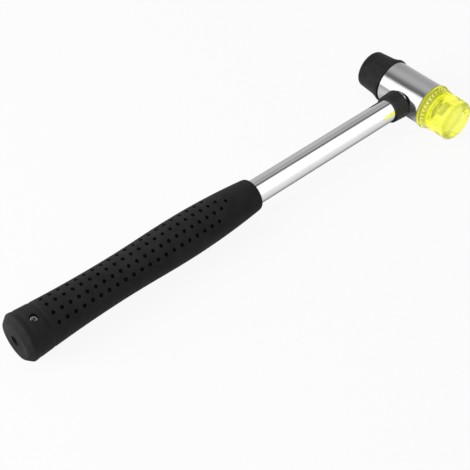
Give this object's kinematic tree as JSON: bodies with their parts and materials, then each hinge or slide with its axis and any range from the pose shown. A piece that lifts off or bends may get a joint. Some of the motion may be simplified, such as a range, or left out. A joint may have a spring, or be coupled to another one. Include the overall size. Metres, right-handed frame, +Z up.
{
  "type": "soft face hammer",
  "caption": "Soft face hammer with a clear and a black screw-on face on a plated barrel head, a plated tube handle, a collar under the head and a dimpled rubber grip with a hang hole.",
  "frame": {"origin": "centre of the lying hammer's box, on the surface that it lies on", "axes": "+Y from the grip to the head along the handle, +X along the head's axis to the clear face, +Z up"},
  "size_m": [0.0634, 0.269, 0.025],
  "materials": {
    "plated_steel": "polished plating",
    "collar_plastic": "moulded, matt",
    "grip_rubber": "moulded, matt",
    "clear_yellow": "clear, polished by the mould",
    "black_rubber": "moulded, satin",
    "bare_steel": "turned and rolled"
  },
  "bodies": {
    "hammer": {"head_barrel": "plated_steel", "handle_tube": "plated_steel", "head_collar": "collar_plastic", "grip_sleeve": "grip_rubber", "hang_eyelet": "plated_steel"},
    "yellow_washer": {"yellow_spring_washer": "bare_steel"},
    "yellow_face": {"yellow_face": "clear_yellow", "yellow_face_stud": "bare_steel"},
    "black_washer": {"black_spring_washer": "bare_steel"},
    "black_face": {"black_face": "black_rubber", "black_face_stud": "bare_steel"}
  },
  "joints": [
    {"name": "yellow_face_travel", "type": "slide", "parent": "hammer", "child": "yellow_washer", "axis": [1, 0, 0], "range_m": [0, 0.0101]},
    {"name": "yellow_face_turn", "type": "hinge", "parent": "yellow_washer", "child": "yellow_face", "pos_m": [0.0132, 0.12195, 0.0125], "axis": [1, 0, 0], "range_deg": [0, 2880]},
    {"name": "black_face_travel", "type": "slide", "parent": "hammer", "child": "black_washer", "axis": [-1, 0, 0], "range_m": [0, 0.0101]},
    {"name": "black_face_turn", "type": "hinge", "parent": "black_washer", "child": "black_face", "pos_m": [-0.0151, 0.12195, 0.0125], "axis": [-1, 0, 0], "range_deg": [0, 2880]}
  ],
  "couplings": [
    {"joint": "yellow_face_travel", "follows": "yellow_face_turn", "m_per_rad": 0.00019894},
    {"joint": "black_face_travel", "follows": "black_face_turn", "m_per_rad": 0.00019894}
  ]
}
